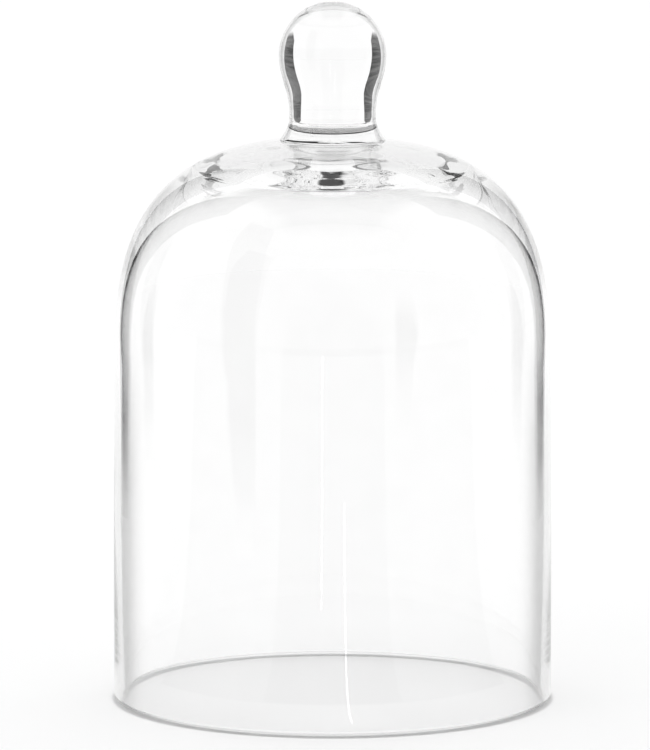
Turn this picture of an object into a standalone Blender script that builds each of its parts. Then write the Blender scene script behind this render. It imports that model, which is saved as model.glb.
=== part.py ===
"""Bell jar dome: a blown clear glass cloche with a solid glass knob.

Three pieces of glass that are joined hot: the bell, a joint collar and the knob.
Metres, +Z up. The origin is the centre of the ground rim, so the dome stands on
z = 0, and every piece is turned about the Z axis. Nothing on it moves.
"""
import math

import bpy

# Bell, outside
RIM_DIAMETER = 0.1400        # across the ground rim
WALL_LEAN = 0.00065          # how far the wall leans in on its way up
SHOULDER_HEIGHT = 0.1063     # rim to the start of the shoulder
BELL_HEIGHT = 0.1778         # rim to the flat seat on the crown
SHOULDER_FULLNESS = 2.75     # 2 is an ellipse, more is squarer

# Bell, inside
RIM_WALL = 0.0030            # glass at the rim
BODY_WALL = 0.0022           # glass above the heavy foot of the wall
HEAVY_WALL_HEIGHT = 0.0600   # how far up the wall the extra glass reaches
CEILING_DIAMETER = 0.0820    # the thick crown's underside
CROWN_THICKNESS = 0.0138     # seat down to the edge of that underside
CEILING_SLOPE = 0.27         # how steeply it climbs to the middle
INNER_FULLNESS = 2.75        # shape of the shoulder inside
CHILL_RINGS = 5              # steps left in the crown where the hot glass set
CHILL_STEP = 0.4             # 0 is a smooth cone, 1 has level treads
RIM_EDGE_RADIUS = 0.0006     # softened edges of the ground rim

# Collar between the bell and the knob
FOOT_DIAMETER = 0.0334       # where the collar spreads on the crown
COLLAR_HEIGHT = 0.0058
FOOT_EDGE_RADIUS = 0.0005
COLLAR_FLARE = 1.6           # 1 is a cone, more is a sharper trumpet

# Knob
NECK_DIAMETER = 0.0276
KNOB_DIAMETER = 0.0341
KNOB_HEIGHT = 0.0375         # collar to the knob's top
KNOB_DOME_HEIGHT = 0.0171    # widest place to the knob's top
NECK_LENGTH = 0.0031         # straight glass above the collar
PUNTY_DIAMETER = 0.0056      # small ground flat on the knob's top

JOINT_GAP = 0.0003           # between one piece's face and the next
TURN_STEPS = 48


def spread(count):
    """Shares of the way from 0 to 1, both ends included."""
    return [step / count for step in range(count + 1)]


def outer_radius(height):
    """The wall leans in a little, and more of it towards the shoulder."""
    return RIM_DIAMETER / 2 - WALL_LEAN * (height / SHOULDER_HEIGHT) ** 2


def wall_thickness(height):
    """The blown wall is heavier towards the rim."""
    extra = max(0.0, 1 - height / HEAVY_WALL_HEIGHT) ** 2
    return BODY_WALL + (RIM_WALL - BODY_WALL) * extra


def superellipse(radius, base, end_radius, end_height, fullness, count):
    """Points from an upright start at (radius, base) to (end_radius, end_height)."""
    share = end_radius / radius
    top_share = (1 - share ** fullness) ** (1 / fullness)
    height = (end_height - base) / top_share
    last_angle = math.atan2(top_share, share)
    points = []
    for part in spread(count):
        angle = last_angle * part
        cosine = math.cos(angle)
        sine = math.sin(angle)
        reach = (cosine ** fullness + sine ** fullness) ** (-1 / fullness)
        points.append((radius * cosine * reach, base + height * sine * reach))
    return points


def corner(center_radius, center_height, radius, first, last, count=4):
    """A small rounded edge, from one angle to another, in degrees."""
    points = []
    for part in spread(count):
        angle = math.radians(first + (last - first) * part)
        points.append((center_radius + radius * math.cos(angle), center_height + radius * math.sin(angle)))
    return points


def bell_outside():
    """From the middle of the crown's seat down to the rim."""
    seat = FOOT_DIAMETER / 2
    start = outer_radius(SHOULDER_HEIGHT)
    shoulder = superellipse(start, SHOULDER_HEIGHT, seat, BELL_HEIGHT, SHOULDER_FULLNESS, 15)
    wall = []
    for part in spread(4)[1:]:
        height = SHOULDER_HEIGHT + (RIM_EDGE_RADIUS - SHOULDER_HEIGHT) * part
        wall.append((outer_radius(height), height))
    edge_radius = outer_radius(RIM_EDGE_RADIUS) - RIM_EDGE_RADIUS
    edge = corner(edge_radius, RIM_EDGE_RADIUS, RIM_EDGE_RADIUS, 0, -90)[1:]
    return [(0.0, BELL_HEIGHT)] + shoulder[::-1] + wall + edge


def ceiling():
    """The crown's underside, from its edge to the middle, climbing in chilled steps."""
    radius = CEILING_DIAMETER / 2
    points = []
    for part in spread(CHILL_RINGS * 5)[1:]:
        turn = math.pi * CHILL_RINGS * part
        level = 0.375 * turn + math.sin(2 * turn) / 4 + math.sin(4 * turn) / 32
        climb = part - CHILL_STEP * level / (math.pi * CHILL_RINGS)
        height = BELL_HEIGHT - CROWN_THICKNESS + radius * CEILING_SLOPE * climb
        points.append((radius * (1 - part), height))
    points[-1] = (0.0, points[-1][1])
    return points


def bell_inside():
    """From the rim up to the middle of the ceiling."""
    inner_edge = RIM_DIAMETER / 2 - RIM_WALL + RIM_EDGE_RADIUS
    edge = corner(inner_edge, RIM_EDGE_RADIUS, RIM_EDGE_RADIUS, -90, -180)
    wall = []
    for part in spread(5)[1:]:
        height = RIM_EDGE_RADIUS + (SHOULDER_HEIGHT - RIM_EDGE_RADIUS) * part
        wall.append((outer_radius(height) - wall_thickness(height), height))
    start = wall[-1][0]
    edge_height = BELL_HEIGHT - CROWN_THICKNESS
    shoulder = superellipse(
        start, SHOULDER_HEIGHT, CEILING_DIAMETER / 2, edge_height, INNER_FULLNESS, 12
    )
    return edge + wall + shoulder[1:] + ceiling()


def collar_outline():
    """A disc with a trumpet side, from the middle of its top to the middle of its foot."""
    bottom = BELL_HEIGHT + JOINT_GAP
    top = bottom + COLLAR_HEIGHT
    neck = NECK_DIAMETER / 2
    foot = FOOT_DIAMETER / 2
    flare_height = COLLAR_HEIGHT - FOOT_EDGE_RADIUS
    side = []
    for part in spread(8):
        side.append((neck + (foot - neck) * part ** COLLAR_FLARE, top - flare_height * part))
    edge = corner(foot - FOOT_EDGE_RADIUS, bottom + FOOT_EDGE_RADIUS, FOOT_EDGE_RADIUS, 0, -90)[1:]
    return [(0.0, top)] + side + edge + [(0.0, bottom)]


def knob_outline():
    """A round head on a short neck, from the middle of its top to the middle of its neck."""
    bottom = BELL_HEIGHT + COLLAR_HEIGHT + 2 * JOINT_GAP
    top = bottom + KNOB_HEIGHT
    widest = top - KNOB_DOME_HEIGHT
    neck_top = bottom + NECK_LENGTH
    head = KNOB_DIAMETER / 2
    neck = NECK_DIAMETER / 2
    dome = superellipse(head, widest, PUNTY_DIAMETER / 2, top, 2.0, 12)
    taper = []
    for part in spread(9)[1:]:
        swing = math.cos(math.pi * part)
        radius = (head + neck) / 2 + (head - neck) / 2 * swing
        taper.append((radius, widest + (neck_top - widest) * part))
    return [(0.0, top)] + dome[::-1] + taper + [(neck, bottom), (0.0, bottom)]


def glass(name, tint, roughness):
    material = bpy.data.materials.new(name)
    material.use_nodes = True
    shader = material.node_tree.nodes["Principled BSDF"]
    shader.inputs["Base Color"].default_value = (*tint, 1.0)
    shader.inputs["Roughness"].default_value = roughness
    shader.inputs["Metallic"].default_value = 0.0
    shader.inputs["IOR"].default_value = 1.5
    shader.inputs["Transmission Weight"].default_value = 1.0
    return material


def turned(name, outline, material, collection, parent):
    """One closed solid: the outline screwed once about the Z axis."""
    profile = bpy.data.meshes.new(name + "_profile")
    points = [(radius, 0.0, height) for radius, height in outline]
    edges = [(index, index + 1) for index in range(len(points) - 1)]
    profile.from_pydata(points, edges, [])
    piece = bpy.data.objects.new(name, profile)
    collection.objects.link(piece)
    screw = piece.modifiers.new("turn", "SCREW")
    screw.axis = "Z"
    screw.angle = math.tau
    screw.steps = TURN_STEPS
    screw.render_steps = TURN_STEPS
    screw.use_merge_vertices = True
    screw.merge_threshold = 0.00001
    apply_turn(piece)
    piece.data.name = name
    piece.data.materials.append(material)
    piece.parent = parent
    return piece


def apply_turn(piece):
    """Keep the turned mesh, shaded smooth apart from its true edges."""
    graph = bpy.context.evaluated_depsgraph_get()
    mesh = bpy.data.meshes.new_from_object(piece.evaluated_get(graph))
    mesh.shade_smooth()
    mesh.set_sharp_from_angle(angle=math.radians(40))
    profile = piece.data
    piece.modifiers.clear()
    piece.data = mesh
    bpy.data.meshes.remove(profile)


def clear_scene():
    for item in list(bpy.data.objects):
        bpy.data.objects.remove(item, do_unlink=True)


def build():
    clear_scene()
    collection = bpy.data.collections.new("bell_jar_dome")
    bpy.context.scene.collection.children.link(collection)
    origin = bpy.data.objects.new("rim_center", None)
    origin.empty_display_size = 0.02
    collection.objects.link(origin)

    bell = glass("bell_glass", (0.97, 0.98, 0.98), 0.02)
    collar = glass("collar_glass", (0.96, 0.97, 0.97), 0.03)
    knob = glass("knob_glass", (0.98, 0.98, 0.98), 0.02)
    turned("bell_shell", bell_outside() + bell_inside(), bell, collection, origin)
    turned("joint_collar", collar_outline(), collar, collection, origin)
    turned("knob", knob_outline(), knob, collection, origin)


build()
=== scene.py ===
# %% [markdown]
# # A clear glass bell jar
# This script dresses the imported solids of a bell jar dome: a blown bell, a joint collar and a
# solid knob. Clear glass shows almost nothing of itself. What the eye reads is what each curve
# bends into view, so the work is in three places: the exact thickness of the glass, the small
# faults that blowing leaves in it, and a studio with something dark for its edges to pick up.

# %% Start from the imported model
import math

import bpy
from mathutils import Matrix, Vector


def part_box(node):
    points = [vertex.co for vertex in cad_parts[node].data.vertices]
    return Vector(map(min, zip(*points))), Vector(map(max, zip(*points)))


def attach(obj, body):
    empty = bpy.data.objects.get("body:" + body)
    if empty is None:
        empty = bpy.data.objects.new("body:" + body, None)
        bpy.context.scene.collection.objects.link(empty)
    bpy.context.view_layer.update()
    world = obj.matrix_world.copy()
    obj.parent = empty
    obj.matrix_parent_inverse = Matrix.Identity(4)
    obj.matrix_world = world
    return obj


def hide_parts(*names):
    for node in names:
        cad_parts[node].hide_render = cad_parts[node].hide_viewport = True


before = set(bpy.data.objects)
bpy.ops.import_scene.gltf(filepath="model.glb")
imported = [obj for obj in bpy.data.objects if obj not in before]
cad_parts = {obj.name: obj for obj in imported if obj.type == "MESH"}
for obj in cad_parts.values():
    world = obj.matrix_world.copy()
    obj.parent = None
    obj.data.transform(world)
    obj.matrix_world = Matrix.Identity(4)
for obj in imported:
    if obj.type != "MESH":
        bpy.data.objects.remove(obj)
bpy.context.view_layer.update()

# %% [markdown]
# ## Sizes
# The frame gives every size that another piece has to meet: the rim, the crown's seat, the
# collar's foot and the knob. The thickness of the glass is not on the outside, so it is named
# here, in metres. A wall of even thickness would look like plastic. A blown one is heavy at the
# rim, thin up the side and thickest in the crown, where the gather hung from the iron.

# %% Sizes from the frame, and the glass inside them
bell_low, bell_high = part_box("bell_shell")
collar_low, collar_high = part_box("joint_collar")
knob_low, knob_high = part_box("knob")

RIM_RADIUS = bell_high.x
SEAT_HEIGHT = bell_high.z
FOOT_RADIUS = collar_high.x
KNOB_RADIUS = knob_high.x
KNOB_TOP = knob_high.z

SHOULDER_RADIUS = RIM_RADIUS - 0.00065
SHOULDER_HEIGHT = 0.1063
SHOULDER_FULLNESS = 2.75
RIM_WALL = 0.0030
BODY_WALL = 0.0022
HEAVY_WALL_HEIGHT = 0.0600
RIM_EDGE = 0.0007
CEILING_RADIUS = 0.0410
CROWN_THICKNESS = 0.0138
CEILING_HEIGHT = SEAT_HEIGHT - CROWN_THICKNESS
CEILING_SLOPE = 0.27
CHILL_RINGS = 5
CHILL_STEP = 0.4
INNER_FULLNESS = 2.75
NECK_RADIUS = 0.0138
NECK_LENGTH = 0.0031
KNOB_DOME = 0.0171
PUNTY_RADIUS = 0.0028
FOOT_EDGE = 0.0005
COLLAR_FLARE = 1.6
JOINT_GAP = 0.00004
TURN_STEPS = 192
print("rim", round(2000 * RIM_RADIUS, 1), "mm across, top at", round(1000 * KNOB_TOP, 1), "mm")

# %% [markdown]
# ## Shader maths
# A node tree is hard to read as a list of links. `Signal` wraps one output socket, so that a
# finish can be written as arithmetic, and `Tree.add` makes any other node from its type, its
# settings and what goes into it.

# %% Shader helpers
class Signal:
    """One value in a material, with the operators that the finishes use."""

    def __init__(self, tree, socket):
        self.tree = tree
        self.socket = socket

    def maths(self, operation, first, second):
        return self.tree.add("ShaderNodeMath", {"operation": operation}, {0: first, 1: second})

    def __add__(self, other):
        return self.maths("ADD", self, other)

    def __sub__(self, other):
        return self.maths("SUBTRACT", self, other)

    def __rsub__(self, other):
        return self.maths("SUBTRACT", other, self)

    def __mul__(self, other):
        return self.maths("MULTIPLY", self, other)

    __radd__ = __add__
    __rmul__ = __mul__

    def above(self, limit):
        return self.maths("GREATER_THAN", self, limit)

    def below(self, limit):
        return self.maths("LESS_THAN", self, limit)

    def eased(self, start, end, low, high):
        """A soft step from low, at start, to high, at end."""
        settings = {"interpolation_type": "SMOOTHSTEP"}
        inputs = {"Value": self, "From Min": start, "From Max": end, "To Min": low, "To Max": high}
        return self.tree.add("ShaderNodeMapRange", settings, inputs)


class Tree:
    """A node tree that is written as expressions."""

    def __init__(self, owner):
        owner.use_nodes = True
        self.nodes = owner.node_tree.nodes
        self.links = owner.node_tree.links

    def add(self, kind, settings=None, inputs=None, output=0):
        node = self.nodes.new(kind)
        for name, value in (settings or {}).items():
            setattr(node, name, value)
        for name, value in (inputs or {}).items():
            self.feed(node.inputs[name], value)
        return Signal(self, node.outputs[output])

    def feed(self, socket, value):
        if isinstance(value, Signal):
            self.links.new(value.socket, socket)
        else:
            socket.default_value = value

    def height_of(self, place):
        """How high a place is above the rim."""
        split = self.add("ShaderNodeSeparateXYZ", {}, {0: place}).socket.node
        return Signal(self, split.outputs["Z"])

    def grey(self, level):
        """A colour with the same level in all three parts."""
        return self.add("ShaderNodeCombineColor", {}, {0: level, 1: level, 2: level})


# %% [markdown]
# ## The studio
# A bright white background alone makes clear glass vanish. Photographers of glass keep the
# background bright and put something dark just outside the frame, which the curved edges bend
# into dark lines. Here the world is that studio: white behind, dimmer at the sides and in
# front, and dark high up straight behind, where only the thick crown looks. Whatever the floor
# scatters is lit evenly instead, as by a large white tent, so the floor stays pale and the dome
# leaves only a faint shadow on it.

# %% World
BACKDROP = 1.03
SIDE_SHADE = 0.75
FRONT_SHADE = 0.62
OVERHEAD_SHADE = 0.05
TENT_LIGHT = 1.09
OVERHEAD_STARTS = 0.56
OVERHEAD_FULL = 0.70


def white_studio():
    """The world: a white tent with darker parts, told apart by the direction looked in."""
    world = bpy.data.worlds.new("white_studio")
    bpy.context.scene.world = world
    tree = Tree(world)
    background = tree.nodes["Background"]
    direction = tree.add("ShaderNodeTexCoord").socket.node.outputs["Generated"]
    split = tree.add("ShaderNodeSeparateXYZ", {}, {0: Signal(tree, direction)}).socket.node
    behind = Signal(tree, split.outputs["Y"])
    upward = Signal(tree, split.outputs["Z"])
    side = behind.eased(-0.5, 0.5, SIDE_SHADE, 1.0)
    front = behind.eased(-0.95, -0.85, FRONT_SHADE, 1.0)
    sideways = Signal(tree, split.outputs["X"])
    straight_behind = behind.eased(-0.2, 0.1, 0.0, 1.0) * (sideways * sideways).eased(0.03, 0.09, 1.0, 0.0)
    high_up = upward.eased(OVERHEAD_STARTS, OVERHEAD_FULL, 0.0, 1.0) * straight_behind
    studio = side * front * (1 - high_up * (1 - OVERHEAD_SHADE)) * BACKDROP
    path = tree.add("ShaderNodeLightPath").socket.node
    seen = Signal(tree, path.outputs["Is Camera Ray"])
    scattered = Signal(tree, path.outputs["Diffuse Depth"]).above(0.5)
    plain = seen + studio * (1 - seen)
    tree.feed(background.inputs["Color"], (1, 1, 1, 1))
    tree.feed(background.inputs["Strength"], plain * (1 - scattered) + TENT_LIGHT * scattered)


white_studio()
print("studio: backdrop", BACKDROP, "tent", TENT_LIGHT)

# %% [markdown]
# ## Floor and cards
# The floor is a matt white sheet. It lies 1.2 mm below the rim, because a floor level with the
# ground face printed a black ring through the glass. Two tall black cards stand behind the
# dome, left and right of what the lens sees, and a third stands in front on the left.
# Only rays that the glass has bent or mirrored see a card: the knob turns the two behind into
# its dark stripes. Two grey mats and two narrow strips of light lie in front. They are seen by
# mirroring alone, the mats as the wall's darker middle and the strips as upright highlights.

# %% Stage pieces
CARD_DISTANCE = 0.42
CARD_TOP = 0.68
CARD_AZIMUTHS = (45, -45, -135)
CARD_OUTER_SIDE = [(-7, 0.0), (-7, 0.3), (0, CARD_TOP)]
CARD_INNER_SIDE = [(24, CARD_TOP), (20, 0.46), (13.5, 0.28), (12, 0.2), (10, 0.08), (2, 0.0)]
CLOTH_WEAVE = (3, 3, 45)
FLOOR_LEVEL = -0.0012
FLOOR_REACH = 6.0
MAT_NEAR = 0.12
MAT_FAR = 5.9
STRIP_LEVEL = 0.001


def shares(count):
    """Even steps from 0 to 1."""
    return [step / count for step in range(count + 1)]


def matt(name, shade, fleck=0.0, faded_foot=0.0):
    """A matt sheet whose shade wanders a little, as paper and cloth do. Its foot may be faded."""
    material = bpy.data.materials.new(name)
    tree = Tree(material)
    shader = tree.nodes["Principled BSDF"]
    place = tree.add("ShaderNodeTexCoord", output=3)
    weave = tree.add("ShaderNodeVectorMath", {"operation": "MULTIPLY"}, {0: place, 1: CLOTH_WEAVE})
    grain = tree.add("ShaderNodeTexNoise", {}, {"Vector": weave, "Scale": 1.0, "Detail": 5.0})
    level = grain.eased(0.4, 0.6, shade - fleck, shade + fleck)
    if faded_foot:
        level = level + tree.height_of(place).eased(0.0, faded_foot, 0.75, 0.0)
    tree.feed(shader.inputs["Base Color"], tree.grey(level))
    shader.inputs["Roughness"].default_value = 1.0
    shader.inputs["Specular IOR Level"].default_value = 0.0
    return material


def sheet(name, corners, material):
    """One flat stage piece, which isn't part of the dome."""
    mesh = bpy.data.meshes.new(name)
    mesh.from_pydata(corners, [], [tuple(range(len(corners)))])
    mesh.materials.append(material)
    piece = bpy.data.objects.new(name, mesh)
    bpy.context.scene.collection.objects.link(piece)
    return piece


def around(azimuth, distance, height):
    """A point round the dome. Azimuth 0 is straight behind it, and 90 is on its right."""
    angle = math.radians(azimuth)
    return (distance * math.sin(angle), distance * math.cos(angle), height)


def for_glass_only(piece):
    """Hide a stage piece from all rays but those that a glass face has bent or mirrored."""
    piece.visible_camera = False
    piece.visible_diffuse = False
    piece.visible_shadow = False


def for_mirroring_only(piece):
    """Hide it from bent rays too, so that nobody looks through the dome at it."""
    for_glass_only(piece)
    piece.visible_transmission = False


def black_card(name, azimuth, material):
    """A tall card beside the white backdrop. Its inner side leans in over the dome."""
    inward = -1 if azimuth > 0 else 1
    outline = CARD_OUTER_SIDE + CARD_INNER_SIDE
    corners = [around(azimuth + inward * turn, CARD_DISTANCE, height) for turn, height in outline]
    for_glass_only(sheet(name, corners, material))


def floor_mat(name, half_angle, height, material):
    """A mat on the table in front of the dome, cut round so that it clears the rim."""
    turns = [180 - half_angle + 2 * half_angle * part for part in shares(24)]
    corners = [around(turn, MAT_NEAR, height) for turn in turns]
    corners += [around(turn, MAT_FAR, height) for turn in reversed(turns)]
    for_mirroring_only(sheet(name, corners, material))


def light_strip(name, azimuth, near, far, width, strength):
    """A thin bright strip in front, which draws an upright line down the glass."""
    material = bpy.data.materials.new(name)
    tree = Tree(material)
    shader = tree.nodes["Principled BSDF"]
    shader.inputs["Base Color"].default_value = (0, 0, 0, 1)
    shader.inputs["Emission Color"].default_value = (1, 1, 1, 1)
    shader.inputs["Emission Strength"].default_value = strength
    side = math.degrees(width / 2 / near)
    far_side = math.degrees(width / 2 / far) * far / near
    corners = [around(azimuth - side, near, STRIP_LEVEL), around(azimuth + side, near, STRIP_LEVEL)]
    corners += [around(azimuth + far_side, far, STRIP_LEVEL), around(azimuth - far_side, far, STRIP_LEVEL)]
    for_mirroring_only(sheet(name, corners, material))


floor_corners = [
    (x * FLOOR_REACH, y * FLOOR_REACH, FLOOR_LEVEL) for x, y in ((-1, -1), (1, -1), (1, 1), (-1, 1))
]
sheet("floor", floor_corners, matt("white_paper", 0.95))
black_cloth = matt("black_cloth", 0.055, 0.05, faded_foot=0.05)
for card_azimuth in CARD_AZIMUTHS:
    black_card(f"black_card_{card_azimuth % 360}", card_azimuth, black_cloth)
floor_mat("side_mat", 75, -0.0004, matt("pale_mat", 0.50, 0.02))
floor_mat("middle_mat", 26, 0.0, matt("grey_mat", 0.04, 0.01))
light_strip("left_strip", 185.2, 0.30, 2.2, 0.0026, 11.0)
light_strip("right_strip", 174.4, 0.08, 0.58, 0.0009, 8.0)

# %% [markdown]
# ## Glass
# One Principled shader with full transmission is enough for each piece. What makes it glass and
# not a formula is its surface: blown glass carries slow waves, drawn out upright on the bell,
# and the rim is ground, so it scatters light. Where the skin is seen along its surface, its
# colour is also darkened: a painted shade that draws the edge. That part is drawing and not
# physics: how dark it is painted was set, and it is held to the low wall and, outside, the crown,
# because between them the cards draw the edge by themselves. The joints are fused: there the
# glass has no surface at all, so the faces that meet inside a joint get an index of 1, which
# bends nothing.

# %% Glass finishes
# Painted shade on glass seen at a slant: how much of its colour is left at the darkest, inside and out.
INSIDE_PAINTED_EDGE = 0.12
OUTSIDE_PAINTED_EDGE = 0.66
GLASS_INDEX = 1.5
FILM_SCALE = 90.0
FILM_SHADE = 0.985
FILM_ROUGHNESS = 0.012
GROUND_ROUGHNESS = 0.4


def clear(shader, index):
    """Let all the light through, bent by this index."""
    shader.inputs["Transmission Weight"].default_value = 1.0
    shader.inputs["IOR"].default_value = index


def wavy_glass(name, wave_size, wave_height, stretch, ground_below=-1.0):
    """The outer skin of a piece. Below ground_below, in metres, it is ground matt."""
    material = bpy.data.materials.new(name)
    tree = Tree(material)
    shader = tree.nodes["Principled BSDF"]
    place = tree.add("ShaderNodeTexCoord", output=3)
    drawn = tree.add("ShaderNodeVectorMath", {"operation": "MULTIPLY"}, {0: place, 1: stretch})
    wave = tree.add("ShaderNodeTexNoise", {}, {"Vector": drawn, "Scale": 1 / wave_size, "Detail": 2.0})
    film = tree.add("ShaderNodeTexNoise", {}, {"Vector": place, "Scale": FILM_SCALE, "Detail": 3.0})
    bump = tree.add("ShaderNodeBump", {}, {"Strength": 1.0, "Distance": wave_height, "Height": wave})
    height = tree.height_of(place)
    ground = height.below(ground_below)
    slant = tree.add("ShaderNodeLayerWeight", {}, {"Blend": 0.5}, output=1)
    # Painted shade: on the low wall and the crown, the skin's colour darkens where it is seen at a slant,
    # to draw the edge.
    painted_edge_heights = height.eased(0.07, 0.12, 1.0, 0.0) + height.eased(0.145, 0.17, 0.0, 1.0)
    edge = slant.eased(0.50, 0.68, 0.0, 1 - OUTSIDE_PAINTED_EDGE) * painted_edge_heights
    colour_with_painted_edge = film.eased(0.35, 0.75, 1.0, FILM_SHADE) * (1 - edge)
    roughness = film.eased(0.45, 0.8, 0.0, FILM_ROUGHNESS) + ground * GROUND_ROUGHNESS
    tree.feed(shader.inputs["Base Color"], tree.grey(colour_with_painted_edge))
    tree.feed(shader.inputs["Roughness"], roughness)
    tree.feed(shader.inputs["Normal"], bump)
    clear(shader, GLASS_INDEX)
    return material


def inner_glass():
    """The bell's inside. Looked along on its low wall, it is darkened by a painted shade that draws its
    edge.
    """
    material = bpy.data.materials.new("bell_inside")
    tree = Tree(material)
    shader = tree.nodes["Principled BSDF"]
    place = tree.add("ShaderNodeTexCoord", output=3)
    slant = tree.add("ShaderNodeLayerWeight", {}, {"Blend": 0.5}, output=1)
    # Painted shade: the inside of the low wall darkens where it is seen at a slant, to draw its edge.
    painted_edge_on_wall = tree.height_of(place).eased(0.075, 0.125, 1.0, 0.0)
    colour_with_painted_edge = 1 - (1 - slant.eased(0.5, 0.95, 1.0, INSIDE_PAINTED_EDGE)) * painted_edge_on_wall
    tree.feed(shader.inputs["Base Color"], tree.grey(colour_with_painted_edge))
    shader.inputs["Roughness"].default_value = 0.0
    clear(shader, GLASS_INDEX)
    return material


def fused_joint():
    """The faces inside a joint, which neither bend nor mirror."""
    material = bpy.data.materials.new("fused_joint")
    tree = Tree(material)
    shader = tree.nodes["Principled BSDF"]
    shader.inputs["Base Color"].default_value = (1, 1, 1, 1)
    shader.inputs["Roughness"].default_value = 0.0
    clear(shader, 1.0)
    return material


bell_finish = wavy_glass("bell_glass", 0.030, 0.00008, (1.0, 1.0, 0.35), ground_below=0.0004)
collar_finish = wavy_glass("collar_glass", 0.012, 0.00004, (1.0, 1.0, 1.0))
knob_finish = wavy_glass("knob_glass", 0.020, 0.00004, (0.5, 0.5, 2.0))
inside_finish = inner_glass()
joint_finish = fused_joint()
print("finishes:", [m.name for m in bpy.data.materials])

# %% [markdown]
# ## Turning the glass
# Each piece is a closed outline turned about the axis, so inside and outside come from one
# curve and the thickness between them is exact. The wall is nearly straight, the shoulder is a
# superellipse, squarer than a circle, and the ceiling steps up in rings.

# %% Curves
def superellipse(radius, base, end_radius, end_height, fullness, count):
    """Points from an upright start at (radius, base) to (end_radius, end_height)."""
    share = end_radius / radius
    top_share = (1 - share ** fullness) ** (1 / fullness)
    height = (end_height - base) / top_share
    last_angle = math.atan2(top_share, share)
    points = []
    for part in shares(count):
        cosine = math.cos(last_angle * part)
        sine = math.sin(last_angle * part)
        reach = (cosine ** fullness + sine ** fullness) ** (-1 / fullness)
        points.append((radius * cosine * reach, base + height * sine * reach))
    return points


def corner(middle_radius, middle_height, radius, first, last):
    """Points along an arc, from one angle to another in degrees."""
    points = []
    for part in shares(8):
        angle = math.radians(first + (last - first) * part)
        points.append((middle_radius + radius * math.cos(angle), middle_height + radius * math.sin(angle)))
    return points


def outer_radius(height):
    """The wall leans in a little more the higher it gets."""
    lean = 1 - (height / SHOULDER_HEIGHT) ** 2
    return SHOULDER_RADIUS + (RIM_RADIUS - SHOULDER_RADIUS) * lean


def wall_thickness(height):
    """The wall is heaviest at the rim."""
    extra = max(0.0, 1 - height / HEAVY_WALL_HEIGHT) ** 2
    return BODY_WALL + (RIM_WALL - BODY_WALL) * extra


# %% [markdown]
# ### The bell
# The rings in the ceiling stand for where the hot gather chilled in steps. Nothing outside shows
# their true shape. The ceiling's thickness, slope and rings, and the fullness of the shoulder
# inside, were tried in many forms and kept for the dark bands that they draw in the crown.

# %% Bell outline
def ceiling_height(radius):
    """A cone that climbs to the middle, nearly level once in every ring."""
    part = 1 - radius / CEILING_RADIUS
    turn = math.pi * CHILL_RINGS * part
    level = 0.375 * turn + math.sin(2 * turn) / 4 + math.sin(4 * turn) / 32
    climb = part - CHILL_STEP * level / (math.pi * CHILL_RINGS)
    return CEILING_HEIGHT + CEILING_RADIUS * CEILING_SLOPE * climb


def ceiling():
    """The crown's underside, from its edge to the middle."""
    radii = [CEILING_RADIUS * (1 - part) for part in shares(CHILL_RINGS * 24)[1:]]
    return [(radius, ceiling_height(radius)) for radius in radii[:-1]] + [(0.0, ceiling_height(0.0))]


def bell_outline():
    """From the middle of the seat, down the outside, round the rim and up the inside."""
    outside = superellipse(
        SHOULDER_RADIUS, SHOULDER_HEIGHT, FOOT_RADIUS, SEAT_HEIGHT, SHOULDER_FULLNESS, 72
    )
    rise = [RIM_EDGE + (SHOULDER_HEIGHT - RIM_EDGE) * part for part in shares(20)]
    outer_wall = [(outer_radius(height), height) for height in rise[:-1]]
    outer_edge = corner(outer_radius(RIM_EDGE) - RIM_EDGE, RIM_EDGE, RIM_EDGE, 0, -90)[1:]
    inner_edge = corner(RIM_RADIUS - RIM_WALL + RIM_EDGE, RIM_EDGE, RIM_EDGE, -90, -180)
    inner_wall = [(outer_radius(height) - wall_thickness(height), height) for height in rise[1:]]
    inside = superellipse(
        inner_wall[-1][0], SHOULDER_HEIGHT, CEILING_RADIUS, CEILING_HEIGHT, INNER_FULLNESS, 60
    )
    outer_side = [(0.0, SEAT_HEIGHT)] + outside[::-1] + outer_wall[::-1]
    inner_side = inner_wall + inside[1:] + ceiling()
    return outer_side + outer_edge + inner_edge + inner_side


# %% [markdown]
# ### The collar and the knob
# The collar spreads on the crown like a trumpet, and its foot is rolled under, which leaves the
# dark crease round the joint. The knob is a round head on a short neck, with a small flat top
# where the punty iron was broken off.

# %% Collar and knob outlines
def collar_outline():
    bottom = SEAT_HEIGHT + JOINT_GAP
    top = knob_low.z - JOINT_GAP
    flare_height = top - bottom - FOOT_EDGE
    side = []
    for part in shares(40):
        flare = (FOOT_RADIUS - NECK_RADIUS) * part ** COLLAR_FLARE
        side.append((NECK_RADIUS + flare, top - flare_height * part))
    foot = corner(FOOT_RADIUS - FOOT_EDGE, bottom + FOOT_EDGE, FOOT_EDGE, 0, -90)[1:]
    return [(0.0, top)] + side + foot + [(0.0, bottom)]


def knob_outline():
    widest = KNOB_TOP - KNOB_DOME
    neck_top = knob_low.z + NECK_LENGTH
    dome = superellipse(KNOB_RADIUS, widest, PUNTY_RADIUS, KNOB_TOP, 2.0, 60)
    taper = []
    for part in shares(50)[1:]:
        swing = (KNOB_RADIUS - NECK_RADIUS) / 2 * math.cos(math.pi * part)
        taper.append(((KNOB_RADIUS + NECK_RADIUS) / 2 + swing, widest + (neck_top - widest) * part))
    return [(0.0, KNOB_TOP)] + dome[::-1] + taper + [(NECK_RADIUS, knob_low.z), (0.0, knob_low.z)]


# %% [markdown]
# ### Turning and finishing
# The outlines are turned by a Screw modifier. Nothing blown is quite round, so the rings under
# the crown are then pulled a few hundredths off their circles, which breaks up the dark bands
# and patches that they draw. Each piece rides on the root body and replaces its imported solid.

# %% Turned pieces
RING_WANDER = 0.035
HAIR = 0.0001
FUSED = 1
INNER_SKIN = 2


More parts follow.
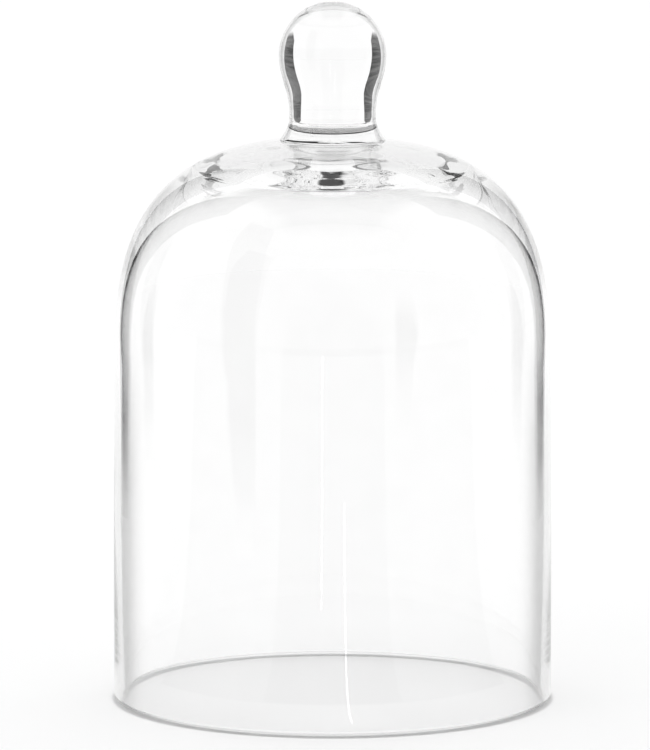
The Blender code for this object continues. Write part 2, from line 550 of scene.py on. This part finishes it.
def uneven_ceiling(solid):
    """Pull the ceiling's rings a little out of round, as hand work leaves them."""
    for vertex in solid.vertices:
        radius = vertex.co.xy.length
        in_ceiling = radius < CEILING_RADIUS - HAIR and CEILING_HEIGHT < vertex.co.z < SEAT_HEIGHT - 0.001
        if in_ceiling and abs(vertex.co.z - ceiling_height(radius)) < HAIR / 10:
            angle = math.atan2(vertex.co.y, vertex.co.x)
            wander = math.sin(2 * angle + 0.6) + 0.7 * math.sin(5 * angle + 2.0)
            wander += 0.5 * math.sin(9 * angle)
            hold = 1 - (radius / CEILING_RADIUS) ** 6
            shifted = radius * (1 + RING_WANDER * wander * hold)
            vertex.co.z = ceiling_height(min(shifted, CEILING_RADIUS))


def turned(name, outline, finish, joint_heights, hollow=False):
    """A closed solid from an outline. Fused faces and a hollow's inside have their own finish."""
    mesh = bpy.data.meshes.new(name)
    edges = [(index, index + 1) for index in range(len(outline) - 1)]
    mesh.from_pydata([(radius, 0.0, height) for radius, height in outline], edges, [])
    piece = bpy.data.objects.new(name, mesh)
    bpy.context.scene.collection.objects.link(piece)
    screw = piece.modifiers.new("turn", "SCREW")
    screw.angle = math.tau
    screw.steps = TURN_STEPS
    screw.render_steps = TURN_STEPS
    screw.use_merge_vertices = True
    screw.merge_threshold = 0.000001
    graph = bpy.context.evaluated_depsgraph_get()
    solid = bpy.data.meshes.new_from_object(piece.evaluated_get(graph))
    piece.modifiers.clear()
    piece.data = solid
    solid.name = name
    uneven_ceiling(solid)
    solid.materials.append(finish)
    solid.materials.append(joint_finish)
    solid.materials.append(inside_finish)
    for face in solid.polygons:
        middle = face.center
        flat = abs(face.normal.z) > 0.999 and middle.xy.length < FOOT_RADIUS
        inward = face.normal.xy.dot(middle.xy) < 0
        if hollow and (inward or face.normal.z < -0.2) and middle.z > 0.001:
            face.material_index = INNER_SKIN
        if flat and any(abs(middle.z - height) < 0.000002 for height in joint_heights):
            face.material_index = FUSED
    solid.shade_smooth()
    solid.set_sharp_from_angle(angle=math.radians(30))
    return piece


def finish_piece(piece, node):
    """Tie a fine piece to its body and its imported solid."""
    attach(piece, "root")
    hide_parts(node)
    print(piece.name, len(piece.data.polygons), "faces")


seat_joint = SEAT_HEIGHT + JOINT_GAP
neck_joint = knob_low.z - JOINT_GAP
bell = turned("blown_bell", bell_outline(), bell_finish, [SEAT_HEIGHT], hollow=True)
collar = turned("joint_gather", collar_outline(), collar_finish, [seat_joint, neck_joint])
knob = turned("solid_knob", knob_outline(), knob_finish, [knob_low.z])
finish_piece(bell, "bell_shell")
finish_piece(collar, "joint_collar")
finish_piece(knob, "knob")

# %% [markdown]
# ## Camera
# A long lens from about two metres, a little above the dome, keeps its walls upright and shows
# the rim as a thin ellipse. Light has to pass many faces in a thick crown, so the paths are long.

# %% Camera and light paths
CAMERA_DISTANCE = 1.9
CAMERA_HEIGHT = 0.359
CAMERA_TILT = 7.68
CAMERA_SHIFT = -0.0101
LENS = 288.96
SENSOR_HEIGHT = 36.0
LONG_PATH = 64
SHORT_PATH = 24

camera_data = bpy.data.cameras.new("camera")
camera_data.sensor_fit = "VERTICAL"
camera_data.sensor_height = SENSOR_HEIGHT
camera_data.lens = LENS
camera_data.shift_x = CAMERA_SHIFT
camera = bpy.data.objects.new("camera", camera_data)
bpy.context.scene.collection.objects.link(camera)
camera.location = (0.0, -CAMERA_DISTANCE, CAMERA_HEIGHT)
camera.rotation_euler = (math.radians(90 - CAMERA_TILT), 0.0, 0.0)
bpy.context.scene.camera = camera

scene = bpy.context.scene
scene.view_settings.view_transform = "Standard"
scene.cycles.max_bounces = LONG_PATH
scene.cycles.transmission_bounces = LONG_PATH
scene.cycles.glossy_bounces = SHORT_PATH
scene.cycles.transparent_max_bounces = SHORT_PATH
scene.cycles.blur_glossy = 0.1
print("camera at", CAMERA_DISTANCE, "m, lens", LENS, "mm")
